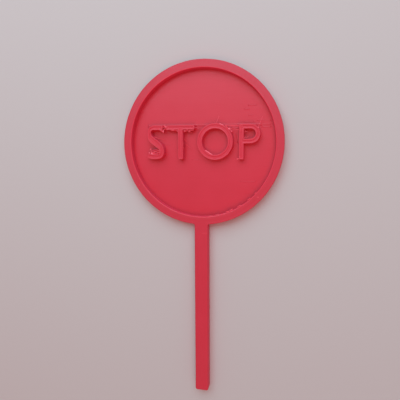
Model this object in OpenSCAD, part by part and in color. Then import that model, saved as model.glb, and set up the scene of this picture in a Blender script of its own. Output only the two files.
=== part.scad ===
// Round hand-held stop paddle, printed flat in one piece.
// It lies on its back: the back is at z = 0, the face looks up along +Z, and
// the handle runs down along -Y from the disc, whose centre is over the origin.
// One rounded front edge runs round the disc, through the two inside corners
// and along the handle to its end, and each shape below carries its part of it.

/* [Disc] */
// Outside diameter of the disc
disc_d = 100; // [60:1:180]
// Width of the raised rim
rim_w = 5; // [3:0.5:10]
// Height of the rim above the recessed face
rim_h = 4; // [2:0.5:8]
// Thickness of the plate behind the face
plate_t = 2; // [1:0.5:4]

/* [Handle] */
// Width of the handle
handle_w = 8.4; // [6:0.2:20]
// Length of the handle below the disc
handle_l = 110; // [60:5:200]
// Radius of the two corners at the handle's free end
end_r = 1.2; // [0.8:0.2:2.4]
// Radius of the inside corners where the handle leaves the disc
root_r = 1; // [0.6:0.2:3]

/* [Edges] */
// Radius that rounds every front edge
edge_r = 0.5; // [0.2:0.1:0.6]

/* [Hidden] */
$fn = 180;
body_t = plate_t + rim_h;
disc_r = disc_d / 2;
field_r = disc_r - rim_w;
// The handle starts in the middle of the rim's width
handle_top_y = -disc_r + rim_w / 2;
handle_end_y = -disc_r - handle_l;
// Centre of the fillet in an inside corner, which touches the disc and the handle's side
fillet_x = handle_w / 2 + root_r;
fillet_y = -sqrt(pow(disc_r + root_r, 2) - pow(fillet_x, 2));
// Share of the way from the disc's centre to a fillet's centre at which the web ends, inside the rim
web_share = (disc_r - rim_w / 2) / (disc_r + root_r);
// How far a cutter runs past the face that it opens
past = 1;

// Section out to a front edge: w wide, as high as the body, rounded at the front corner
module edge_section(w) {
    square([w, body_t - edge_r]);
    square([w - edge_r, body_t]);
    translate([w - edge_r, body_t - edge_r]) intersection() {
        circle(r = edge_r);
        square(edge_r);
    }
}

// A disc or a round corner post, turned from the edge section
module turned_edge(r) {
    rotate_extrude() edge_section(r);
}

// A flat bar along -Y, w wide, with both of its front edges rounded
module bar(w, l) {
    rotate([90, 0, 0]) linear_extrude(height = l)
        for (side = [0, 1]) mirror([side, 0]) edge_section(w / 2);
}

// A cutter for a round hole down to floor_z, flared so that the edge left round it is rounded
module flared_hole(r, floor_z) {
    flare_z = body_t - edge_r;
    translate([0, 0, floor_z]) cylinder(r = r, h = body_t - floor_z + past);
    rotate_extrude() difference() {
        translate([0, flare_z]) square([r + edge_r, edge_r + past]);
        translate([r + edge_r, flare_z]) circle(r = edge_r);
    }
}

// The handle: a bar out of the rim, two round corner posts at its free end, and a bar across them
module handle() {
    post_x = handle_w / 2 - end_r;
    post_y = handle_end_y + end_r;
    translate([0, handle_top_y, 0]) bar(handle_w, handle_top_y - post_y);
    for (side = [-1, 1]) translate([side * post_x, post_y, 0]) turned_edge(end_r);
    translate([post_x, post_y, 0]) rotate([0, 0, -90]) bar(2 * end_r, 2 * post_x);
}

// The web between the rim and the handle, hollowed on both sides by the fillets
module root_web() {
    difference() {
        linear_extrude(height = body_t) polygon([
            [-fillet_x, fillet_y],
            [fillet_x, fillet_y],
            [fillet_x * web_share, fillet_y * web_share],
            [-fillet_x * web_share, fillet_y * web_share]
        ]);
        for (side = [-1, 1])
            translate([side * fillet_x, fillet_y, 0]) flared_hole(root_r, -past);
    }
}

// The whole paddle: disc, web and handle as one solid, with the face sunk into it
module paddle() {
    color([0.80, 0.23, 0.29]) difference() {
        union() {
            turned_edge(disc_r);
            root_web();
            handle();
        }
        flared_hole(field_r, plate_t);
    }
}

paddle();
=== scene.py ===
"""Visual model of a round hand-held stop paddle, printed flat and in one piece in red PLA.

The paddle lies on its back on a pale floor. Its back is at z = 0, its face looks up along +Z and its
handle runs along -Y from the disc, whose centre is over the origin. Every size is in millimetres until a
finished mesh is scaled to metres, and outlines keep the plastic on their left hand side.
"""

import logging
import math
import random
from abc import ABC, abstractmethod
from collections.abc import Iterable, Mapping, Sequence
from dataclasses import dataclass, field
from enum import Enum, IntEnum

import bmesh
import bpy
import numpy as np
from bmesh.types import BMesh, BMFace, BMVert
from mathutils import Euler, Matrix, Vector, noise


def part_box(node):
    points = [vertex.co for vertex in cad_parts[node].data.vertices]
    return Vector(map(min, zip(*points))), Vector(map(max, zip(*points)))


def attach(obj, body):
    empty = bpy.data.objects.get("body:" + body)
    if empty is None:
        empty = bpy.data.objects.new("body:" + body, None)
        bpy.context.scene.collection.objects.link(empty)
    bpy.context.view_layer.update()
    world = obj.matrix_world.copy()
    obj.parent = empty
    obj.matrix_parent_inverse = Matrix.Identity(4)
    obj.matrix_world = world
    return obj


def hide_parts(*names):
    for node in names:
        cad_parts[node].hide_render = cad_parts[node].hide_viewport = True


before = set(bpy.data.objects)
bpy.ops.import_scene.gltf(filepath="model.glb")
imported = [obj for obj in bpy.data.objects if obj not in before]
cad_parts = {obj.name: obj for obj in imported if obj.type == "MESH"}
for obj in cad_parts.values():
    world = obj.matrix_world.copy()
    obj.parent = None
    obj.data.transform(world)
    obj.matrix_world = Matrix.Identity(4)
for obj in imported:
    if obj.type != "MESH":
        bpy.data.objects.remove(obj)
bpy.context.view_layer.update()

MM = 0.001
BODY = "root"
# Corners of a moving outline that come this close run together, in millimetres
RUN_TOGETHER = 0.02
# Corners this close are one corner, and this is the slack in telling whether one lies on a drawn line
SAME_PLACE = 1e-4
ON_LINE = 1e-3
# Angle past which an edge shades as a sharp one
SHARP = math.radians(50)
# Longest turn that one edge of a drawn arc takes
ARC_TURN = math.radians(9)
# Seed of the noise vectors, which would otherwise come from the clock
NOISE_SEED = 7

Ring = list[BMVert]
Point = tuple[float, float]
Place = tuple[float, float, float]
log = logging.getLogger("paddle")


class Skin(IntEnum):
    """The kinds of surface that a flat print shows, each with a finish of its own."""

    # The walls' finish is painted a lighter, bluer red than the plastic's, as painted light that lifts
    # the shade on them
    WALL = 0
    TOP = 1
    FACE = 2
    BED = 3
    # The line that runs round the lip of the recess, whose lighter red is a painted highlight
    LIP = 4


class Heading(Enum):
    """The directions that the nozzle takes across a flat skin, in degrees from +X."""

    ACROSS = 0.0
    DOWN = 90.0
    DIAGONAL = 45.0


@dataclass(frozen=True)
class PrintJob:
    """How the printer was set, which every layer and line takes its size from, in millimetres."""

    layer: float = 0.25
    line: float = 0.45
    # Depth of the joint between two layers of a wall, the share by which it differs from joint to joint,
    # and the share of it by which a layer's belly hangs back
    groove: float = 0.028
    groove_play: float = 0.25
    belly_play: float = 0.2
    # Depth of the joint between two lines of the top skin, of the sunk face and of the bed side
    skin_groove: float = 0.03
    face_groove: float = 0.012
    bed_groove: float = 0.015
    # Lines that run along the edge of a skin, besides the outermost
    perimeters: int = 2


def linear(code: str) -> tuple[float, float, float, float]:
    """Turns an sRGB colour into the linear one that shaders take.

    Args:
        code: The colour as a hex value, such as "#C92C3A".

    Returns:
        Red, green, blue and an alpha of 1.
    """
    shares = [int(code[at:at + 2], 16) / 255 for at in (1, 3, 5)]
    red, green, blue = (s / 12.92 if s <= 0.04045 else ((s + 0.055) / 1.055) ** 2.4 for s in shares)
    return red, green, blue, 1.0


def add_node(
    tree: bpy.types.NodeTree,
    kind: str,
    inputs: Mapping[str | int, object] | None = None,
    links: Mapping[str | int, bpy.types.NodeSocket] | None = None,
    **settings: object,
) -> bpy.types.Node:
    """Adds a shader node with its settings, its input values and its links.

    Args:
        tree: The node tree that takes the node.
        kind: The node's type, without the leading ShaderNode.
        inputs: Values for its input sockets, by name or number.
        links: Output sockets to join to its input sockets, by name or number.
        **settings: Properties of the node itself.

    Returns:
        The new node.
    """
    node = tree.nodes.new(f"ShaderNode{kind}")
    for name, value in settings.items():
        setattr(node, name, value)
    for key, value in (inputs or {}).items():
        node.inputs[key].default_value = value
    for key, socket in (links or {}).items():
        tree.links.new(socket, node.inputs[key])
    return node


def new_material(name: str) -> tuple[bpy.types.Material, bpy.types.NodeTree, bpy.types.Node]:
    """Starts an empty node material.

    Args:
        name: The finish's plain name.

    Returns:
        The material, its node tree and its output node.
    """
    material = bpy.data.materials.new(name)
    material.use_nodes = True
    tree = material.node_tree
    tree.nodes.clear()
    return material, tree, tree.nodes.new("ShaderNodeOutputMaterial")


@dataclass(frozen=True)
class ExtrudedPla:
    """Red PLA filament, melted and laid in lines by a 0.4 mm nozzle.

    The melt freezes with a satin skin, so it keeps a soft, pale sheen over a deep red. Each line takes a
    slightly different gloss and depth of colour, which reads as faint streaks along the nozzle's path.
    """

    name: str
    heading: Heading
    # Deep and light end of the red, which differ as lines lie tighter or looser
    deep: str = "#BF2239"
    light: str = "#C3273E"
    roughness: float = 0.43
    specular: float = 0.7
    # Share by which the gloss of one streak differs from the next
    gloss_play: float = 0.03
    # Index of refraction of PLA
    ior: float = 1.46
    # A line is 0.45 mm wide. Streaks are drawn three lines wide, because one line is under a pixel.
    streak_width: float = 1.35
    streak_length: float = 26.0
    # Slow clouds where the extrusion ran a little rich or lean, and their share in the play of colour
    cloud: float = 17.0
    cloud_share: float = 0.75
    # Low and high end of what the noise gives
    span: tuple[float, float] = (0.3, 0.7)
    # Grain of the frozen skin: real pits are about 0.05 mm, drawn three times as coarse to show at all
    grain: float = 0.15
    grain_depth: float = 0.004

    def build(self) -> bpy.types.Material:
        """Makes the material.

        Returns:
            The finished node material.
        """
        material, tree, output = new_material(self.name)
        place = add_node(tree, "TexCoord").outputs["Object"]
        turn = (0.0, 0.0, -math.radians(self.heading.value))
        turned = add_node(tree, "Mapping", {"Rotation": turn}, {"Vector": place})
        stretch = (
            1 / (self.streak_length * MM),
            1 / (self.streak_width * MM),
            1 / (self.streak_width * MM),
        )
        laid = add_node(tree, "Mapping", {"Scale": stretch}, {"Vector": turned.outputs["Vector"]})
        streak = add_node(
            tree,
            "TexNoise",
            {"Scale": 1.0, "Detail": 2.0, "Roughness": 0.6},
            {"Vector": laid.outputs["Vector"]},
        )
        clouds = add_node(
            tree,
            "TexNoise",
            {"Scale": 1 / (self.cloud * MM), "Detail": 3.0, "Roughness": 0.5},
            {"Vector": place},
        )
        blend = add_node(
            tree,
            "Mix",
            {"Factor": self.cloud_share},
            {"A": streak.outputs["Fac"], "B": clouds.outputs["Fac"]},
            data_type="FLOAT",
        )
        low, high = self.span
        share = add_node(
            tree, "MapRange", {"From Min": low, "From Max": high}, {"Value": blend.outputs[0]}
        )
        colour = add_node(
            tree,
            "Mix",
            {6: linear(self.deep), 7: linear(self.light)},
            {0: share.outputs["Result"]},
            data_type="RGBA",
        )
        rough = add_node(
            tree,
            "MapRange",
            {
                "From Min": low,
                "From Max": high,
                "To Min": self.roughness * (1 + self.gloss_play),
                "To Max": self.roughness * (1 - self.gloss_play),
            },
            {"Value": streak.outputs["Fac"]},
        )
        grain = add_node(
            tree, "TexNoise", {"Scale": 1 / (self.grain * MM), "Detail": 2.0}, {"Vector": place}
        )
        bump = add_node(
            tree,
            "Bump",
            {"Strength": 1.0, "Distance": self.grain_depth * MM},
            {"Height": grain.outputs["Fac"]},
        )
        shader = add_node(
            tree,
            "BsdfPrincipled",
            {"IOR": self.ior, "Metallic": 0.0, "Specular IOR Level": self.specular},
            {
                "Base Color": colour.outputs[2],
                "Roughness": rough.outputs["Result"],
                "Normal": bump.outputs["Normal"],
            },
        )
        tree.links.new(shader.outputs["BSDF"], output.inputs["Surface"])
        return material


@dataclass(frozen=True)
class PaintedFloor:
    """Matt emulsion paint on a smooth board, a cool pale grey that shows no gloss of its own."""

    name: str = "matt_painted_floor"
    colour: str = "#B8C5C0"
    roughness: float = 0.9
    specular: float = 0.2
    # Roller marks are about 8 mm across and 0.03 mm deep
    mottle: float = 8.0
    mottle_depth: float = 0.1
    mottle_strength: float = 0.3

    def build(self) -> bpy.types.Material:
        """Makes the material.

        Returns:
            The finished node material.
        """
        material, tree, output = new_material(self.name)
        place = add_node(tree, "TexCoord").outputs["Object"]
        marks = {"Scale": 1 / (self.mottle * MM), "Detail": 4.0}
        mottle = add_node(tree, "TexNoise", marks, {"Vector": place})
        bump = add_node(
            tree,
            "Bump",
            {"Strength": self.mottle_strength, "Distance": self.mottle_depth * MM},
            {"Height": mottle.outputs["Fac"]},
        )
        shader = add_node(
            tree,
            "BsdfPrincipled",
            {
                "Base Color": linear(self.colour),
                "Roughness": self.roughness,
                "Specular IOR Level": self.specular,
            },
            {"Normal": bump.outputs["Normal"]},
        )
        tree.links.new(shader.outputs["BSDF"], output.inputs["Surface"])
        return material


def run_together(points: np.ndarray) -> tuple[np.ndarray, np.ndarray]:
    """Joins neighbours on a closed path that have come closer than the limit.

    Args:
        points: The path's points, one row each.

    Returns:
        The points that are left, and for each point given the row that it became.
    """
    gaps = np.linalg.norm(points - np.roll(points, 1, axis=0), axis=1)
    apart = gaps > RUN_TOGETHER
    if apart.all():
        return points, np.arange(len(points))
    rows = (np.cumsum(apart) - 1) % apart.sum()
    left = np.array([points[rows == row].mean(axis=0) for row in range(apart.sum())])
    return left, rows


def move_in(points: np.ndarray, inward: float) -> tuple[np.ndarray, np.ndarray]:
    """Moves a closed path towards its left hand side and lets corners that shrink away run together.

    Args:
        points: The path's points, one row each, with x and y.
        inward: How far the path moves, in millimetres. Below 0 it moves to its right.

    Returns:
        The moved points, and for each point given the row that it became.
    """
    rows = np.arange(len(points))
    steps = max(1, math.ceil(abs(inward) / RUN_TOGETHER))
    for _ in range(steps):
        ahead = np.roll(points, -1, axis=0) - points
        ahead /= np.linalg.norm(ahead, axis=1, keepdims=True)
        left = np.stack([-ahead[:, 1], ahead[:, 0]], axis=1)
        behind = np.roll(left, 1, axis=0)
        mitre = (left + behind) / (1 + (left * behind).sum(axis=1, keepdims=True))
        points, joined = run_together(points + mitre * inward / steps)
        rows = joined[rows]
    return points, rows


def pairs(ring: Ring) -> Iterable[tuple[BMVert, BMVert]]:
    """Gives each corner of a ring with the next one, round to the first."""
    return zip(ring, ring[1:] + ring[:1])


def next_along(here: BMVert, passed: Sequence[BMVert]) -> BMVert:
    """Follows a path of edges on to its next corner.

    Args:
        here: The corner to go on from.
        passed: The corners that the path came by.

    Returns:
        The first neighbour that wasn't passed.
    """
    ends = (edge.other_vert(here) for edge in here.link_edges)
    return next(end for end in ends if end not in passed)


class Pen:
    """Draws a closed outline on one level of a bmesh, by dragging its last point along."""

    def __init__(self, bm: BMesh, level: float, station: float) -> None:
        """Keeps the bmesh, the height to draw at and the longest edge of a straight stretch."""
        self.bm = bm
        self.level = level
        self.station = station
        self.older = set(bm.verts)
        self.trail: list[BMVert] = []

    def start(self, x: float, y: float) -> None:
        """Puts the pen down."""
        self.trail = bmesh.ops.create_vert(self.bm, co=(x, y, self.level))["vert"]

    def line(self, x: float, y: float) -> None:
        """Draws straight to a point."""
        run = Vector((x, y, self.level)) - self.trail[-1].co
        steps = max(1, round(run.length / self.station))
        self._drag(steps, Vector((0.0, 0.0, 0.0)), run / steps, 0.0)

    def arc(self, x: float, y: float, turn: float) -> None:
        """Swings round a centre, anticlockwise for a turn above 0.

        Args:
            x: The centre's x.
            y: The centre's y.
            turn: The angle to swing through, in radians.
        """
        centre = Vector((x, y, self.level))
        length = abs(turn) * (self.trail[-1].co - centre).length
        steps = max(math.ceil(abs(turn) / ARC_TURN), round(length / self.station))
        self._drag(steps, centre, Vector((0.0, 0.0, 0.0)), turn)

    def polygon(self, corners: Sequence[tuple[float, float, float]]) -> None:
        """Draws a closed polygon and rounds its corners.

        Args:
            corners: The x, y and rounding radius of each corner, in order.
        """
        self.start(*corners[0][:2])
        turns = [self.trail[-1]]
        for x, y, _ in corners[1:]:
            self.line(x, y)
            turns.append(self.trail[-1])
        self.close()
        for corner, (_, _, radius) in zip(turns, corners):
            self.soften(corner, radius)

    def soften(self, corner: BMVert, radius: float) -> None:
        """Rounds a corner of the closed outline.

        Args:
            corner: The corner vertex.
            radius: Length that the rounding takes off each side of the corner.
        """
        self._clear(corner, radius)
        bmesh.ops.bevel(
            self.bm,
            geom=[corner],
            offset=radius,
            offset_type="OFFSET",
            affect="VERTICES",
            segments=max(3, math.ceil(math.pi / 2 * radius / self.station)),
            profile=0.5,
            material=-1,
        )

    def close(self) -> None:
        """Draws back to the start and welds the two ends."""
        first = self.trail[0]
        if (self.trail[-1].co - first.co).length > RUN_TOGETHER:
            self.line(*first.co.xy)
        bmesh.ops.weld_verts(self.bm, targetmap={self.trail.pop(): first})

    def ring(self, hole: bool = False) -> Ring:
        """Walks the closed outline, so that the plastic lies on the left.

        Args:
            hole: Whether the outline is that of a hole, which is walked clockwise.

        Returns:
            The outline's vertices in order.
        """
        first = next(v for v in self.bm.verts if v not in self.older)
        ring = [first]
        edge = first.link_edges[0]
        here = edge.other_vert(first)
        while here != first:
            ring.append(here)
            edge = next(e for e in here.link_edges if e != edge)
            here = edge.other_vert(here)
        area = sum(a.co.x * b.co.y - b.co.x * a.co.y for a, b in pairs(ring))
        return ring[::-1] if (area < 0) != hole else ring

    def _clear(self, corner: BMVert, radius: float) -> None:
        """Clears the stations that lie within a corner's rounding."""
        for edge in list(corner.link_edges):
            last, here = corner, edge.other_vert(corner)
            passed = []
            while (here.co - corner.co).length < radius + RUN_TOGETHER and len(here.link_edges) == 2:
                passed.append(here)
                last, here = here, next_along(here, [last])
            if passed:
                bmesh.ops.dissolve_verts(self.bm, verts=passed)

    def _drag(self, steps: int, centre: Vector, stride: Vector, turn: float) -> None:
        """Drags the last point in equal steps, and notes each point that it leaves."""
        made = bmesh.ops.spin(
            self.bm,
            geom=[self.trail[-1]],
            cent=centre,
            axis=(0.0, 0.0, 1.0),
            dvec=stride,
            angle=turn,
            steps=steps,
            use_merge=False,
            use_duplicate=False,
        )
        end = next(g for g in made["geom_last"] if isinstance(g, BMVert))
        while self.trail[-1] != end:
            self.trail.append(next_along(self.trail[-1], self.trail[-2:]))


class Shell:
    """A closed mesh that grows ring by ring out of its outlines, as a print grows line by line."""

    def __init__(self, job: PrintJob, seed: int) -> None:
        """Starts an empty shell with the printer's settings and its own chance."""
        self.job = job
        self.bm = bmesh.new()
        self.chance = random.Random(seed)
        self.skin = Skin.WALL
        # The faces that grew last, and how deep in the last joint of a wall lies
        self.strip: list[BMFace] = []
        self.depth = job.groove

    def grow(self, ring: Ring, inward: float, rise: float, valley: bool = False) -> Ring:
        """Extrudes a ring and moves the new one into the plastic and up.

        Args:
            ring: The ring to grow from, with the plastic on its left.
            inward: How far the new ring moves to its left, in millimetres.
            rise: How far it moves up.
            valley: Whether it lies in the joint between two lines, which shades as a sharp edge.

        Returns:
            The new ring, shorter where its corners have run together.
        """
        places, rows = move_in(np.array([v.co.xy for v in ring]), inward)
        edges = [self.bm.edges.get(pair) for pair in pairs(ring)]
        made = bmesh.ops.extrude_edge_only(self.bm, edges=edges)["geom"]
        fresh = {g for g in made if isinstance(g, BMVert)}
        self.strip = [g for g in made if isinstance(g, BMFace)]
        for face in self.strip:
            face.material_index = self.skin
            face.smooth = True
        first: dict[int, BMVert] = {}
        doubles: dict[BMVert, BMVert] = {}
        for old, row in zip(ring, rows):
            new = next(v for v in (e.other_vert(old) for e in old.link_edges) if v in fresh)
            new.co = (*places[row], old.co.z + rise)
            if first.setdefault(row, new) != new:
                doubles[new] = first[row]
        if doubles:
            bmesh.ops.weld_verts(self.bm, targetmap=doubles)
            self.strip = [f for f in self.strip if f.is_valid]
        grown = [first[row] for row in sorted(first)]
        if valley:
            for pair in pairs(grown):
                self.bm.edges.get(pair).smooth = False
        return grown

    def layers(self, ring: Ring, height: float) -> Ring:
        """Stacks layers on a ring that lies in a joint: each bulges out and closes in a new joint.

        Args:
            ring: The ring to start from.
            height: How high the stack is, in millimetres.

        Returns:
            The ring in the last joint.
        """
        half = self.job.layer / 2
        play = self.job.groove_play
        for _ in range(round(height / self.job.layer)):
            depth = self.job.groove * self.chance.uniform(1 - play, 1 + play)
            belly = self.job.groove * self.chance.uniform(0.0, self.job.belly_play)
            ring = self.grow(ring, belly - self.depth, half)
            ring = self.grow(ring, depth - belly, half, valley=True)
            self.depth = depth
        return ring

    def wall(self, ring: Ring, height: float) -> Ring:
        """Closes the outline's own layer in a joint, and stacks the wall's other layers on it."""
        self.depth = self.job.groove
        ring = self.grow(ring, self.depth, self.job.layer / 2, valley=True)
        return self.layers(ring, height - self.job.layer)

    def edge(self, ring: Ring, width: float, height: float, steps: int = 4) -> Ring:
        """Rolls a wall over into the top skin.

        Args:
            ring: The ring in the wall's last joint.
            width: How far in the rounding reaches from the outline, in millimetres.
            height: How far up it reaches.
            steps: The number of edges in its arc.

        Returns:
            The ring on the crest of the outermost line.
        """
        inward, rise = self.depth, 0.0
        for number in range(1, steps + 1):
            angle = math.pi / 2 * number / steps
            next_in, next_up = width * (1 - math.cos(angle)), height * math.sin(angle)
            ring = self.grow(ring, next_in - inward, next_up - rise)
            inward, rise = next_in, next_up
        return ring

    def perimeters(self, ring: Ring, count: int, depth: float, sink: float = 0.0) -> Ring:
        """Lays lines side by side on a skin, along its edge.

        Args:
            ring: The ring on the crest of the outermost line.
            count: How many more lines follow.
            depth: Depth of the joint between two lines, below 0 on the bed side.
            sink: How much lower the last line lies than the first.

        Returns:
            The ring in the joint after the last line.
        """
        half = self.job.line / 2
        for _ in range(count):
            ring = self.grow(ring, half, -depth, valley=True)
            ring = self.grow(ring, half, depth - sink / count)
        return self.grow(ring, half, -depth, valley=True)

    def fill(self, rings: Sequence[Ring]) -> list[BMFace]:
        """Fills the flat ground between rings.

        Args:
            rings: The outline, and the holes in it.

        Returns:
            The new faces.
        """
        edges = [self.bm.edges.get(pair) for ring in rings for pair in pairs(ring)]
        made = bmesh.ops.triangle_fill(
            self.bm,
            use_beauty=True,
            edges=edges,
            normal=(0.0, 0.0, 1.0),
        )["geom"]
        faces = [g for g in made if isinstance(g, BMFace)]
        for face in faces:
            face.material_index = self.skin
            face.smooth = True
        return faces

    def cover(self, rings: Sequence[Ring], heading: Heading, inward: float, rise: float) -> None:
        """Fills a flat skin and draws the lines that the nozzle laid on it.

        Args:
            rings: The skin's outline and its holes, in the joint beside their last line.
            heading: The direction of the lines.
            inward: How far inside the rings the lines begin, below 0 if that is on their right.
            rise: How far the middle of a line stands over its joints, below 0 on the bed side.
        """
        ground: list[BMFace] = []
        inner: list[Ring] = []
        for ring in rings:
            inner.append(self.grow(ring, inward, 0.0))
            ground += self.strip
        ground += self.fill(inner)
        self._draw_lines(ground, math.radians(heading.value), rise)

    def _draw_lines(self, ground: list[BMFace], angle: float, rise: float) -> None:
        """Cuts the ground along the joint and the middle of each line, and lifts the middles.

        Each half of a line is then a flat slope, so its faces shade as flat ones.
        """
        across = Vector((-math.sin(angle), math.cos(angle), 0.0))
        half = self.job.line / 2
        reach = [v.co.dot(across) for face in ground for v in face.verts]
        whole = set(ground)
        ahead = ground
        for number in range(math.ceil(min(reach) / half), math.floor(max(reach) / half) + 1):
            parts = {p for face in ahead for p in (face, *face.edges, *face.verts)}
            made = bmesh.ops.bisect_plane(
                self.bm,
                geom=list(parts),
                dist=SAME_PLACE,
                plane_co=across * number * half,
                plane_no=across,
            )["geom"]
            cut = [g for g in made if isinstance(g, BMFace)]
            whole.update(cut)
            limit = number * half + ON_LINE
            ahead = [face for face in cut if max(v.co.dot(across) for v in face.verts) > limit]
        rows: dict[BMVert, int] = {}
        for vert in {v for face in whole for v in face.verts}:
            row = vert.co.dot(across) / half
            if abs(row - round(row)) < ON_LINE:
                rows[vert] = round(row)
        for vert, row in rows.items():
            if row % 2 and all(face in whole for face in vert.link_faces):
                vert.co.z += rise
        for face in whole:
            face.smooth = False

    def waver(self, amount: float, length: float) -> None:
        """Lets the walls wander a little, as an extruder's flow does.

        Args:
            amount: The most that a point moves, in millimetres.
            length: Size of one swing.
        """
        for vert in self.bm.verts:
            drift = noise.noise_vector(vert.co / length)
            vert.co.x += drift.x * amount
            vert.co.y += drift.y * amount

    def finish(self) -> None:
        """Turns the faces outward and makes every edge past the limit a sharp one."""
        bmesh.ops.remove_doubles(self.bm, verts=self.bm.verts, dist=SAME_PLACE)
        bmesh.ops.recalc_face_normals(self.bm, faces=self.bm.faces)
        for edge in self.bm.edges:
            if edge.is_manifold and edge.calc_face_angle() > SHARP:
                edge.smooth = False


def make_piece(name: str, bm: BMesh, finishes: Sequence[bpy.types.Material]) -> bpy.types.Object:
    """Turns a bmesh in millimetres into a piece of the paddle, and reports it.

    Args:
        name: The piece's name.
        bm: Its mesh, which is freed.
        finishes: Its materials, in the order of its faces' material numbers.

    Returns:
        The piece, which rides on the paddle's body.
    """
    bmesh.ops.scale(bm, vec=(MM, MM, MM), verts=bm.verts)
    open_edges = sum(not edge.is_manifold for edge in bm.edges)
    mesh = bpy.data.meshes.new(name)
    bm.to_mesh(mesh)
    bm.free()
    for finish in finishes:
        mesh.materials.append(finish)
    piece = bpy.data.objects.new(name, mesh)
    bpy.context.scene.collection.objects.link(piece)
    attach(piece, BODY)
    triangles = sum(len(p.vertices) - 2 for p in mesh.polygons)
    log.info("%s: %d triangles, %d open edges", name, triangles, open_edges)
    return piece


@dataclass
class Body:
    """The disc with its raised rim and the straight handle, in one print."""

    job: PrintJob
    disc_radius: float
    thickness: float
    # From the disc's centre to the handle's free end
    reach: float
    rim_width: float = 5.0
    plate: float = 2.0
    handle_width: float = 8.4
    end_radius: float = 1.2
    root_radius: float = 1.0
    edge_radius: float = 0.5
    station: float = 1.2
    # How the first layer rolls under: each step inward, and each step down as a share of half a layer
    curl: tuple[Point, ...] = ((0.03, 0.6), (0.09, 0.4))
    # How far the walls wander, and the size of one swing
    waver: float = 0.03
    swing: float = 4.0
    seed: int = 11

    def outline(self, pen: Pen) -> Ring:
        """Draws the disc, its two inside corners and the handle in one line.

        Args:
            pen: The pen to draw with.

        Returns:
            The outline.
        """
        half = self.handle_width / 2
        root_x = half + self.root_radius
        root_angle = math.acos(root_x / (self.disc_radius + self.root_radius))
        root_y = -root_x * math.tan(root_angle)
        end_x = half - self.end_radius
        end_y = self.end_radius - self.reach
        pen.start(self.disc_radius * math.cos(root_angle), -self.disc_radius * math.sin(root_angle))
        pen.arc(0.0, 0.0, math.pi + 2 * root_angle)
        pen.arc(-root_x, root_y, -root_angle)
        pen.line(-half, end_y)
        pen.arc(-end_x, end_y, math.pi / 2)
        pen.line(end_x, -self.reach)
        pen.arc(end_x, end_y, math.pi / 2)
        pen.line(half, root_y)
        pen.arc(root_x, root_y, -root_angle)
        pen.close()
        return pen.ring()

    def recess(self, pen: Pen) -> Ring:
        """Draws the round edge of the sunk face."""
        pen.start(self.disc_radius - self.rim_width, 0.0)
        pen.arc(0.0, 0.0, 2 * math.pi)
        pen.close()
        return pen.ring(hole=True)

    def bed_side(self, shell: Shell, outline: Ring) -> None:
        """Rolls the first layer under and covers the back, which the print bed pressed flat.

        Args:
            shell: The shell that the outline belongs to.
            outline: The outline at half the first layer's height.
        """
        half = self.job.layer / 2
        shell.skin = Skin.BED
        ring = outline
        for inward, share in self.curl:
            ring = shell.grow(ring, inward, -half * share)
        ring = shell.perimeters(ring, self.job.perimeters, -self.job.bed_groove)
        shell.cover([ring], Heading.DIAGONAL, self.job.line / 3, -self.job.bed_groove)

    def build(self) -> BMesh:
        """Grows the print from its first layer to its top skin.

        Returns:
            The closed mesh, in millimetres.
        """
        shell = Shell(self.job, self.seed)
        half = self.job.layer / 2
        wall_top = self.thickness - self.edge_radius
        outline = self.outline(Pen(shell.bm, half, self.station))
        self.bed_side(shell, outline)
        recess = self.recess(Pen(shell.bm, self.plate + half, self.station))
        shell.skin = Skin.FACE
        foot = shell.grow(recess, 0.0, -half - self.job.face_groove)
        shell.cover([foot], Heading.ACROSS, -self.job.line / 2, self.job.face_groove)
        joints = []
        # The recess's rounded lip takes the lip finish, whose lighter red is a painted highlight
        for ring, height, crest in (
            (outline, wall_top, Skin.TOP),
            (recess, wall_top - self.plate, Skin.LIP),
        ):
            shell.skin = Skin.WALL
            ring = shell.wall(ring, height)
            shell.skin = crest
            ring = shell.edge(ring, self.edge_radius, self.edge_radius)
            shell.skin = Skin.TOP
            joints.append(shell.perimeters(ring, self.job.perimeters, self.job.skin_groove))
        shell.cover(joints, Heading.DOWN, self.job.line / 3, self.job.skin_groove)
        shell.waver(self.waver, self.swing)
        shell.finish()
        return shell.bm


@dataclass
class RaisedLetter(ABC):
    """A letter of plain even strokes, printed up from the sunk face to the height of the rim."""

    job: PrintJob
    base: float
    top: float
    # Width and height of the rounding round the top
    edge_width: float = 0.35
    edge_height: float = 0.5
    # How much lower the second line of a stroke lies than the first, and the depth and the slope's width
    # of the gap between a stroke's two halves
    sink: float = 0.04
    gap_depth: float = 0.26
    gap_slope: float = 0.22
    # Rounding of a square corner, and the longest edge of a straight stretch
    corner: float = 0.4
    station: float = 0.7
    # How far the walls wander, and the size of one swing
    waver: float = 0.07
    swing: float = 1.6
    seed: int = 3

    @abstractmethod
    def draw(self, shell: Shell, level: float) -> list[Ring]:
        """Draws the letter's outline and its hole, if it has one.

        Args:
            shell: The shell to draw in.
            level: The height to draw at.

        Returns:
            The outline, then the hole.
        """

    def build(self) -> BMesh:
        """Grows the letter from just under the face to its top skin.

        Returns:
            The closed mesh, in millimetres.
        """
        shell = Shell(self.job, self.seed)
        rings = self.draw(shell, self.base - self.job.layer / 2)
        shell.fill(rings)
        joints = []
        for ring in rings:
            shell.skin = Skin.WALL
            ring = shell.wall(ring, self.top - self.edge_height - self.base + self.job.layer)
            shell.skin = Skin.TOP
            ring = shell.edge(ring, self.edge_width, self.edge_height)
            ring = shell.perimeters(ring, 1, self.job.skin_groove, self.sink)
            joints.append(shell.grow(ring, self.gap_slope, -self.gap_depth))
        shell.fill(joints)
        shell.waver(self.waver, self.swing)
        shell.finish()
        return shell.bm


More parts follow.
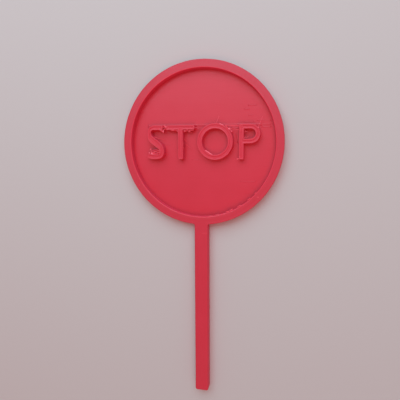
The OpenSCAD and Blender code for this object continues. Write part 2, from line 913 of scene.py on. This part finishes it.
@dataclass
class LetterS(RaisedLetter):
    """Two wide bowls joined by a bold slanting spine."""

    # The x, y and rounding of each corner: along the top, down the spine's lower side, round the foot
    # and back up the spine's upper side
    corners: tuple[Place, ...] = (
        (-23.8, 11.6, 0.5),
        (-34.3, 11.9, 5.0),
        (-34.2, 2.3, 2.2),
        (-26.3, -3.9, 1.2),
        (-26.6, -6.4, 1.2),
        (-33.8, -5.7, 0.4),
        (-34.8, -8.2, 0.5),
        (-32.0, -9.4, 1.0),
        (-23.3, -9.4, 4.6),
        (-23.4, -1.1, 3.2),
        (-31.9, 5.7, 1.4),
        (-31.9, 8.8, 1.6),
        (-26.0, 8.5, 0.6),
        (-24.5, 7.0, 0.4),
    )

    def draw(self, shell: Shell, level: float) -> list[Ring]:
        """Draws the rounded corners of the letter."""
        pen = Pen(shell.bm, level, self.station)
        pen.polygon(self.corners)
        return [pen.ring()]


@dataclass
class LetterT(RaisedLetter):
    """A bar across the top of a stem."""

    left: float = -21.9
    right: float = -3.9
    top_y: float = 11.5
    bar_y: float = 8.5
    foot_y: float = -9.5
    stem_left: float = -14.45
    stem_right: float = -11.2

    def draw(self, shell: Shell, level: float) -> list[Ring]:
        """Draws the eight corners of the letter."""
        pen = Pen(shell.bm, level, self.station)
        inner = self.corner / 2
        pen.polygon([
            (self.stem_left, self.foot_y, self.corner),
            (self.stem_right, self.foot_y, self.corner),
            (self.stem_right, self.bar_y, inner),
            (self.right, self.bar_y, self.corner),
            (self.right, self.top_y, self.corner),
            (self.left, self.top_y, self.corner),
            (self.left, self.bar_y, self.corner),
            (self.stem_left, self.bar_y, inner),
        ])
        return [pen.ring()]


@dataclass
class LetterO(RaisedLetter):
    """A round ring."""

    centre: Point = (8.65, 1.05)
    radius: float = 11.1
    stroke: float = 3.25

    def draw(self, shell: Shell, level: float) -> list[Ring]:
        """Draws the outer circle and the hole."""
        rings = []
        for radius, hole in ((self.radius, False), (self.radius - self.stroke, True)):
            pen = Pen(shell.bm, level, self.station)
            pen.start(self.centre[0] + radius, self.centre[1])
            pen.arc(*self.centre, 2 * math.pi)
            pen.close()
            rings.append(pen.ring(hole))
        return rings


@dataclass
class LetterP(RaisedLetter):
    """A stem with a round bowl on its upper part."""

    left: float = 23.25
    right: float = 36.0
    top_y: float = 11.35
    bowl_y: float = -0.35
    foot_y: float = -9.75
    stroke: float = 2.95

    def draw(self, shell: Shell, level: float) -> list[Ring]:
        """Draws the stem with its bowl, and the bowl's hole."""
        stem = self.left + self.stroke
        bowl = (self.top_y - self.bowl_y) / 2
        inner = self.corner / 2
        outer_pen = Pen(shell.bm, level, self.station)
        outer_pen.polygon([
            (self.left, self.foot_y, self.corner),
            (stem, self.foot_y, self.corner),
            (stem, self.bowl_y, inner),
            (self.right, self.bowl_y, bowl - RUN_TOGETHER),
            (self.right, self.top_y, bowl - RUN_TOGETHER),
            (self.left, self.top_y, self.corner),
        ])
        outline = outer_pen.ring()
        hole_right = self.right - self.stroke
        hole_low = self.bowl_y + self.stroke
        hole_top = self.top_y - self.stroke
        eye = (hole_top - hole_low) / 2 - RUN_TOGETHER
        hole_pen = Pen(shell.bm, level, self.station)
        hole_pen.polygon([
            (stem, hole_low, inner),
            (hole_right, hole_low, eye),
            (hole_right, hole_top, eye),
            (stem, hole_top, inner),
        ])
        return [outline, hole_pen.ring(hole=True)]


@dataclass(frozen=True)
class Thread:
    """A thread or smear of melt that the nozzle drew out on its way from one place to the next."""

    start: Place
    end: Place
    radius: float = 0.15
    # Shares of the radius that are left half way along and at the far end
    waist: float = 0.7
    tip: float = 1.0
    # Height of the section as a share of its width, below 1 where the nozzle pressed it flat
    press: float = 1.0
    wander: float = 0.15
    # Distance between two rings of the thread, and the corners of a ring
    station: float = 0.7
    sides: int = 8
    # How fast the path bends, how closely its swellings follow each other, and how thick they are
    bend: float = 0.7
    beat: float = 2.3
    swell: float = 0.2

    def build(self, bm: BMesh) -> None:
        """Drags a small disc along, then thins, presses and bends what it leaves."""
        start = Vector(self.start)
        run = Vector(self.end) - start
        steps = max(4, math.ceil(run.length / self.station))
        older = set(bm.verts)
        turn = run.to_track_quat("Z", "Y").to_matrix().to_4x4()
        disc = bmesh.ops.create_circle(
            bm, cap_ends=True, segments=self.sides, radius=1.0, matrix=Matrix.Translation(start) @ turn
        )["verts"]
        cap = disc[0].link_faces[0]
        bmesh.ops.spin(
            bm,
            geom=[cap, *cap.edges, *cap.verts],
            cent=start,
            axis=(0.0, 0.0, 1.0),
            dvec=run / steps,
            angle=0.0,
            steps=steps,
            use_merge=False,
            use_duplicate=False,
        )
        for vert in set(bm.verts) - older:
            self._shape(vert, start, run)

    def _shape(self, vert: BMVert, start: Vector, run: Vector) -> None:
        """Moves one corner to its place on the finished thread."""
        share = (vert.co - start).dot(run) / run.length_squared
        bow = math.sin(math.pi * min(1.0, max(0.0, share)))
        centre = start + run * share
        width = self.radius * (1 + (self.tip - 1) * share) * (1 + (self.waist - 1) * bow)
        out = (vert.co - centre) * width
        drift = noise.noise_vector(centre * self.bend + run) * self.wander * bow
        swell = 1 + self.swell * noise.noise(centre * self.beat)
        vert.co = (
            centre.x + drift.x + out.x * swell,
            centre.y + drift.y + out.y * swell,
            centre.z + (drift.z + out.z * swell) * self.press,
        )


@dataclass(frozen=True)
class Bead:
    """A bead of melt that oozed out where the nozzle stopped or started."""

    place: Place
    # Half of its length, width and height
    size: Place
    # How much it swells unevenly, and how closely the swellings follow each other
    lump: float = 0.35
    beat: float = 1.4

    def build(self, bm: BMesh) -> None:
        """Swells a small ball unevenly."""
        place = Vector(self.place)
        for vert in bmesh.ops.create_icosphere(bm, subdivisions=3, radius=1.0)["verts"]:
            swell = 1 + self.lump * noise.noise(vert.co * self.beat + place)
            vert.co = place + Vector([a * b * swell for a, b in zip(vert.co, self.size)])


@dataclass(frozen=True)
class Traces:
    """What a hot nozzle leaves behind: threads and smears on the letters, raised lines, and beads."""

    # Threads and smears at the height of the letters
    threads: tuple[Thread, ...] = (
        # Across the gap between the S and the T, and along the T's bar
        Thread((-23.5, 11.5, 5.5), (-19.4, 9.1, 5.6), 0.34, 0.8),
        Thread((-23.9, 10.1, 5.4), (-21.3, 10.7, 5.6), 0.3, 0.8),
        Thread((-21.3, 9.5, 5.6), (-16.9, 8.2, 5.4), 0.32, 0.9, wander=0.4),
        Thread((-18.9, 8.3, 5.4), (-14.7, 8.1, 5.2), 0.3, 0.8, wander=0.5),
        Thread((-15.7, 8.8, 5.3), (-13.8, 6.7, 5.4), 0.3, 0.9),
        Thread((-11.1, 7.9, 5.3), (-4.4, 8.2, 5.3), 0.26, 0.7, wander=0.6),
        Thread((-10.9, 7.1, 4.8), (-7.9, 8.6, 5.2), 0.24, 0.8, wander=0.3),
        Thread((-7.7, 8.5, 5.2), (-5.9, 6.5, 4.7), 0.22, 0.8, tip=0.5),
        # Beside the T's stem
        Thread((-11.3, 0.9, 4.4), (-6.5, -2.9, 3.0), 0.1, 0.7, wander=0.4),
        Thread((-11.3, 3.1, 3.4), (-8.5, 0.9, 2.6), 0.12, 0.7, wander=0.3),
        # Over the foot of the S
        Thread((-33.6, -6.4, 5.4), (-26.4, -3.6, 5.4), 0.3, 0.8, wander=0.4),
        Thread((-32.6, -2.9, 4.4), (-31.2, -6.5, 5.5), 0.3, 0.8, wander=0.3),
        Thread((-30.6, -3.3, 4.2), (-29.6, -6.7, 5.5), 0.26, 0.8, wander=0.3),
        Thread((-28.4, -4.1, 4.8), (-31.4, -6.3, 5.5), 0.28, 0.8, wander=0.3),
        Thread((-26.6, -4.4, 5.2), (-28.6, -6.7, 5.5), 0.24, 0.8, wander=0.2),
        Thread((-29.8, 4.5, 5.2), (-24.0, 2.7, 3.2), 0.2, 0.7, tip=0.6, wander=0.3),
        # Between the O and the P
        Thread((15.1, 10.4, 5.6), (19.0, 6.9, 5.3), 0.3, 0.8),
        Thread((16.3, 8.7, 5.5), (23.5, 8.1, 5.4), 0.24, 0.7, wander=0.3),
        Thread((14.7, 10.7, 5.5), (23.5, 10.1, 5.5), 0.26, 0.7, wander=0.25),
        Thread((23.9, 10.7, 5.8), (24.4, 6.7, 5.8), 0.24, 0.9),
        Thread((25.0, 10.9, 5.8), (25.1, 7.1, 5.8), 0.24, 0.9),
        Thread((25.8, 8.3, 5.4), (28.3, 6.2, 4.6), 0.15, 0.8, tip=0.6),
        Thread((25.9, 6.4, 5.0), (28.5, 7.1, 4.6), 0.13, 0.8, tip=0.6),
        Thread((26.5, 1.9, 5.2), (26.9, 4.1, 4.6), 0.18, 0.8, tip=0.7),
        Thread((25.7, 3.1, 5.4), (28.9, 3.7, 5.0), 0.16, 0.8),
        # Along the foot of the P
        Thread((21.9, -9.3, 4.9), (26.1, -9.2, 5.6), 0.3, 0.8, wander=0.3),
        # Loose ends that stand out above the O and the P
        Thread((9.4, 11.8, 5.7), (11.2, 16.1, 5.2), 0.15, 0.8, tip=0.6),
        Thread((9.6, 11.8, 5.7), (7.7, 13.5, 5.2), 0.12, 0.8, tip=0.5),
        Thread((34.5, 9.1, 5.8), (37.0, 15.4, 4.6), 0.16, 0.8, tip=0.7),
    )
    # Full smears that nearly close the lower bowl of the S and soften the corners of the T
    smears: tuple[Thread, ...] = (
        Thread((-33.6, -6.6, 5.0), (-26.2, -5.2, 5.2), 0.75, 0.9, press=0.6, wander=0.4),
        Thread((-33.0, -5.5, 4.7), (-26.4, -3.9, 5.1), 0.6, 0.9, press=0.6, wander=0.4),
        Thread((-32.2, -4.4, 4.4), (-27.6, -3.0, 4.7), 0.5, 0.9, press=0.7, wander=0.4),
        Thread((-23.6, 10.7, 5.1), (-21.1, 10.4, 5.2), 0.8, 0.9, press=0.7, wander=0.2),
        Thread((-24.1, 9.0, 5.0), (-21.3, 9.5, 5.1), 0.6, 0.8, press=0.7, wander=0.3),
        Thread((-15.1, 8.4, 5.2), (-13.9, 7.1, 5.2), 0.5, 0.9, press=0.7, wander=0.1),
        # Rough stretch on the right of the T's stem
        Thread((-11.3, 1.1, 4.9), (-11.0, -0.9, 4.9), 0.4, 0.8, wander=0.2),
        Thread((-11.1, -1.7, 4.9), (-11.1, -3.9, 4.9), 0.42, 0.8, wander=0.2),
        Thread((-4.7, 10.1, 4.8), (-0.9, 9.1, 4.8), 0.3, 0.8, press=0.8, wander=0.2),
    )
    # Lines that stand a little over the face beside them
    face_lines: tuple[Thread, ...] = (
        Thread((-35.0, 11.75, 1.98), (36.3, 11.1, 1.98), 0.8, 1.0, press=0.1, wander=0.05),
        Thread((-35.0, 10.8, 2.0), (-21.7, 10.7, 2.0), 0.3, 1.0, press=0.3, wander=0.05),
        Thread((33.3, 11.05, 1.98), (41.7, 10.95, 1.98), 0.35, 1.0, press=0.3, wander=0.05),
        Thread((33.8, 13.45, 1.98), (42.1, 13.25, 1.98), 0.3, 1.0, press=0.3, wander=0.05),
        Thread((36.5, 9.6, 1.98), (41.9, 9.45, 1.98), 0.4, 1.0, press=0.2, wander=0.05),
        Thread((-24.9, -0.05, 2.0), (-19.3, -0.2, 2.0), 0.25, 1.0, press=0.5, wander=0.05),
        Thread((-6.5, -9.6, 2.0), (-1.9, -9.7, 2.0), 0.25, 1.0, press=0.4, wander=0.05),
        Thread((17.9, 5.9, 2.0), (19.1, 0.5, 2.0), 0.3, 0.9, press=0.6, wander=0.1),
        Thread((21.0, 5.9, 2.0), (22.1, 0.1, 2.0), 0.3, 0.9, press=0.6, wander=0.1),
        Thread((18.5, 9.3, 2.0), (22.9, 9.2, 2.0), 0.3, 1.0, press=0.5, wander=0.05),
        Thread((28.3, 22.5, 1.99), (33.1, 22.4, 1.99), 0.35, 1.0, press=0.18, wander=0.05),
        Thread((25.9, 20.4, 1.99), (28.9, 20.3, 1.99), 0.3, 1.0, press=0.18, wander=0.05),
        Thread((28.3, 16.7, 1.99), (31.3, 16.6, 1.99), 0.3, 1.0, press=0.18, wander=0.05),
        Thread((25.7, 12.9, 1.99), (31.5, 12.7, 1.99), 0.3, 1.0, press=0.18, wander=0.05),
        Thread((23.7, -23.2, 1.99), (33.4, -23.1, 1.99), 0.3, 1.0, press=0.18, wander=0.05),
    )
    # The line where one layer of the handle was pressed a little too full
    handle_lines: tuple[Thread, ...] = (
        Thread((0.2, -55.6, 5.98), (4.0, -55.4, 5.98), 0.34, 1.0, press=0.3, wander=0.05),
    )
    # Short runs and beads on the letters
    beads: tuple[Thread | Bead, ...] = (
        Thread((2.7, -4.0, 5.5), (7.0, -6.9, 5.5), 0.3, 1.2, wander=0.2),
        Bead((-31.4, -6.0, 5.35), (0.95, 0.6, 0.5)),
        Bead((-33.2, -5.4, 5.3), (0.5, 0.45, 0.4)),
        Bead((-29.7, -6.6, 5.5), (0.6, 0.4, 0.4)),
        Bead((-32.7, -3.1, 4.2), (0.5, 0.5, 0.5)),
        Bead((-26.5, -3.9, 5.4), (0.45, 0.4, 0.4)),
        Bead((-23.9, 7.7, 5.4), (0.55, 0.7, 0.45)),
        Bead((-22.1, 10.4, 5.6), (0.55, 0.45, 0.4)),
        Bead((-17.3, 8.6, 5.55), (0.75, 0.4, 0.4)),
        Bead((-8.5, 8.8, 5.65), (0.55, 0.4, 0.35)),
        Bead((-7.4, 7.5, 5.0), (0.4, 0.5, 0.4)),
        Bead((-10.1, 7.8, 5.2), (0.4, 0.4, 0.4)),
        Bead((-4.2, 10.0, 5.5), (0.4, 0.6, 0.4)),
        Thread((11.4, 11.75, 5.6), (14.1, 10.4, 5.6), 0.34, 1.2, wander=0.15),
        Bead((17.3, 8.6, 5.4), (0.7, 0.5, 0.4)),
        Bead((18.7, 7.1, 5.3), (0.5, 0.4, 0.35)),
        Bead((6.7, -6.7, 5.5), (0.55, 0.4, 0.36)),
        Bead((4.7, -5.3, 5.4), (0.6, 0.3, 0.34)),
        Bead((23.9, -8.2, 5.75), (0.45, 0.35, 0.25)),
        Bead((22.4, -9.4, 4.9), (0.5, 0.35, 0.35)),
        Bead((25.7, -9.1, 5.55), (0.45, 0.4, 0.35)),
        Bead((34.4, 8.8, 5.75), (0.5, 0.5, 0.25)),
    )
    # Short runs along the lip of the recess, and beads on the rim
    lip_beads: tuple[Thread | Bead, ...] = (
        Thread((4.6, -44.7, 5.3), (7.4, -44.3, 5.4), 0.22, 1.1),
        Thread((8.9, -43.95, 4.6), (11.2, -43.4, 5.0), 0.34, 1.1),
        Thread((15.2, -42.1, 4.8), (17.5, -41.2, 5.3), 0.34, 1.1),
        Thread((17.8, -40.9, 4.9), (19.6, -40.1, 5.2), 0.42, 1.1),
        Thread((22.4, -38.7, 5.2), (24.8, -37.3, 5.4), 0.32, 1.1),
        Thread((28.7, -34.3, 5.2), (30.4, -32.9, 5.4), 0.32, 1.1),
        Thread((32.8, -30.6, 5.2), (33.9, -29.4, 5.4), 0.28, 1.1),
        Bead((34.9, -32.2, 5.92), (0.5, 0.35, 0.16)),
        Bead((-40.3, -25.7, 5.95), (0.3, 0.3, 0.14)),
    )

    def build(
        self,
        thread: Sequence[bpy.types.Material],
        bead: Sequence[bpy.types.Material],
        top: Sequence[bpy.types.Material],
        face: Sequence[bpy.types.Material],
    ) -> None:
        """Makes one piece of each group of traces.

        Args:
            thread: The finish of pulled threads and of the runs along the lip, painted paler than the
                plastic as a painted highlight.
            bead: The finish of beads, painted palest of all as a painted highlight.
            top: The finish of the letters' tops, which smears and the handle's line share.
            face: The finish of the face.
        """
        groups = {
            "pulled_threads": (self.threads, thread),
            "smeared_melt": (self.smears, top),
            "raised_face_lines": (self.face_lines, face),
            "raised_handle_line": (self.handle_lines, top),
            "oozed_beads": (self.beads, bead),
            "lip_beads": (self.lip_beads, thread),
        }
        for name, (parts, finishes) in groups.items():
            bm = bmesh.new()
            for part in parts:
                part.build(bm)
            bmesh.ops.recalc_face_normals(bm, faces=bm.faces)
            for made in bm.faces:
                made.smooth = True
            make_piece(name, bm, finishes)


@dataclass(frozen=True)
class SoftBox:
    """A large soft lamp, in millimetres and watts."""

    name: str
    place: Place
    aim: Place
    width: float
    height: float
    power: float
    colour: str = "#FFFFFF"

    def build(self) -> None:
        """Hangs the lamp and turns it to its aim."""
        data = bpy.data.lights.new(self.name, "AREA")
        data.shape = "RECTANGLE"
        data.size = self.width * MM
        data.size_y = self.height * MM
        data.energy = self.power
        data.color = linear(self.colour)[:3]
        lamp = bpy.data.objects.new(self.name, data)
        lamp.location = Vector(self.place) * MM
        lamp.rotation_euler = (Vector(self.aim) - Vector(self.place)).to_track_quat("-Z", "Y").to_euler()
        bpy.context.scene.collection.objects.link(lamp)


@dataclass(frozen=True)
class FarGlow:
    """Soft light from a wide, far off surface, the same strength all over the paddle."""

    name: str
    # Where it comes from, as seen from the paddle
    source: Place
    # Strength in watts per square metre, and how wide the surface looks, in degrees
    strength: float
    width: float
    colour: str

    def build(self) -> None:
        """Makes the light and turns it to the paddle."""
        data = bpy.data.lights.new(self.name, "SUN")
        data.energy = self.strength
        data.angle = math.radians(self.width)
        data.color = linear(self.colour)[:3]
        lamp = bpy.data.objects.new(self.name, data)
        lamp.rotation_euler = (-Vector(self.source)).to_track_quat("-Z", "Y").to_euler()
        bpy.context.scene.collection.objects.link(lamp)


@dataclass
class Studio:
    """The pale floor, the soft light and the camera."""

    floor_size: float = 1500.0
    # The floor lies this far under the paddle's back
    floor_gap: float = 0.02
    # The camera hangs over the face, to the right of the disc's centre, and looks down and to the left
    eye: Place = (49.34, -8.59, 233.12)
    pitch: float = -6.371
    yaw: float = 12.399
    roll: float = -0.281
    # Its lens and its sensor's width, and the nearest that it sees
    lens: float = 34.0
    sensor: float = 36.0
    nearest: float = 10.0
    # Light from all round, and the tone past the floor's edge
    sky: str = "#F1E3E1"
    sky_strength: float = 0.46
    backdrop: str = "#BDB5B2"
    lamps: tuple[SoftBox | FarGlow, ...] = (
        SoftBox("daylight", (-20.0, 440.0, 510.0), (0.0, 0.0, 0.0), 900.0, 640.0, 4.9, "#DDEFFF"),
        FarGlow("warm_bounce", (0.2, -0.5, 1.0), 1.12, 44.0, "#FF3036"),
    )

    def build(self) -> None:
        """Sets the floor, the lamps, the world, the camera and the colour view."""
        self._lay_floor()
        for lamp in self.lamps:
            lamp.build()
        self._light_world()
        self._hang_camera()
        bpy.context.scene.view_settings.view_transform = "Standard"

    def _lay_floor(self) -> None:
        """Lays the floor under the paddle."""
        bm = bmesh.new()
        bmesh.ops.create_grid(bm, x_segments=1, y_segments=1, size=self.floor_size / 2 * MM)
        bmesh.ops.translate(bm, vec=(0.0, 0.0, -self.floor_gap * MM), verts=bm.verts)
        mesh = bpy.data.meshes.new("floor")
        bm.to_mesh(mesh)
        bm.free()
        mesh.materials.append(PaintedFloor().build())
        floor = bpy.data.objects.new("floor", mesh)
        bpy.context.scene.collection.objects.link(floor)

    def _light_world(self) -> None:
        """Lights the scene from all round, and shows the floor's own tone past its far edge."""
        world = bpy.data.worlds.new("daylight_all_round")
        bpy.context.scene.world = world
        world.use_nodes = True
        tree = world.node_tree
        tree.nodes.clear()
        sky = add_node(tree, "Background", {"Color": linear(self.sky), "Strength": self.sky_strength})
        shown = add_node(tree, "Background", {"Color": linear(self.backdrop), "Strength": 1.0})
        rays = add_node(tree, "LightPath")
        mixed = add_node(
            tree,
            "MixShader",
            links={
                0: rays.outputs["Is Camera Ray"],
                1: sky.outputs["Background"],
                2: shown.outputs["Background"],
            },
        )
        add_node(tree, "OutputWorld", links={"Surface": mixed.outputs["Shader"]})

    def _hang_camera(self) -> None:
        """Hangs the camera where the paddle is seen from."""
        data = bpy.data.cameras.new("camera")
        data.lens = self.lens
        data.sensor_width = self.sensor
        data.clip_start = self.nearest * MM
        camera = bpy.data.objects.new("camera", data)
        turn = Euler([math.radians(a) for a in (self.pitch, self.yaw, self.roll)], "ZXY")
        camera.matrix_world = Matrix.Translation(Vector(self.eye) * MM) @ turn.to_matrix().to_4x4()
        bpy.context.scene.collection.objects.link(camera)
        bpy.context.scene.camera = camera


@dataclass
class Paddle:
    """The whole paddle: the printed body, its raised word and the traces that the nozzle left."""

    job: PrintJob = field(default_factory=PrintJob)

    def build(self) -> None:
        """Builds and dresses every piece, in order."""
        low, high = (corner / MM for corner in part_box("paddle"))
        finishes = self.finishes()
        body = Body(
            self.job,
            disc_radius=round(high.y, 1),
            thickness=round(high.z, 2),
            reach=round(-low.y, 1),
        )
        piece = make_piece("paddle_body", body.build(), finishes)
        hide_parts("paddle")
        shape = {"job": self.job, "base": body.plate, "top": body.thickness}
        # The first two letters came out rougher than the others
        letters = {
            "letter_s": LetterS(**shape, seed=21, waver=0.14),
            "letter_t": LetterT(**shape, seed=22, waver=0.13),
            "letter_o": LetterO(**shape, seed=23),
            "letter_p": LetterP(**shape, seed=24),
        }
        lettering = ExtrudedPla("red_pla_letter_lines", Heading.DOWN, "#C5283E", "#C92D43").build()
        for name, letter in letters.items():
            # The letters' sides take the walls' finish, whose lighter red is painted light
            make_piece(name, letter.build(), [finishes[Skin.WALL], lettering])
        # Painted highlight: the threads' pale red stands in for the glints that catch on them
        pulled = ExtrudedPla(
            "red_pla_pulled_thread_painted_highlight", Heading.ACROSS, "#DA3C50", "#E04A5C", roughness=0.36
        )
        # Painted highlight: the beads' palest red stands in for the glints on them
        oozed = ExtrudedPla(
            "red_pla_oozed_bead_painted_highlight", Heading.ACROSS, "#EC5C70", "#F46E80", roughness=0.3
        )
        Traces().build([pulled.build()], [oozed.build()], [lettering], [finishes[Skin.FACE]])

    def finishes(self) -> list[bpy.types.Material]:
        """Makes one finish for each kind of skin.

        Returns:
            The materials, in the order of Skin.
        """
        made = {
            # Painted light: the walls' red is lighter and bluer than the face's, to lift the shade that
            # falls on the walls
            Skin.WALL: ExtrudedPla(
                "red_pla_layered_wall_painted_lighter",
                Heading.ACROSS,
                "#D43852",
                "#D83E58",
                roughness=0.55,
                specular=0.45,
            ),
            Skin.TOP: ExtrudedPla("red_pla_top_lines", Heading.DOWN, "#BB253B", "#BF2A40"),
            Skin.FACE: ExtrudedPla("red_pla_face_lines", Heading.ACROSS),
            Skin.BED: ExtrudedPla("red_pla_pressed_on_bed", Heading.DIAGONAL, roughness=0.28),
            # Painted highlight: the lip's line is a lighter red than the face, for a bright band along
            # the lip
            Skin.LIP: ExtrudedPla(
                "red_pla_glossy_lip_line_painted_highlight", Heading.ACROSS, "#D22E46", "#D6344C", roughness=0.34
            ),
        }
        return [made[skin].build() for skin in Skin]


def main() -> None:
    """Builds the paddle and its studio."""
    logging.basicConfig(level=logging.INFO, format="%(name)s %(message)s")
    noise.seed_set(NOISE_SEED)
    Paddle().build()
    Studio().build()


if __name__ == "__main__":
    main()
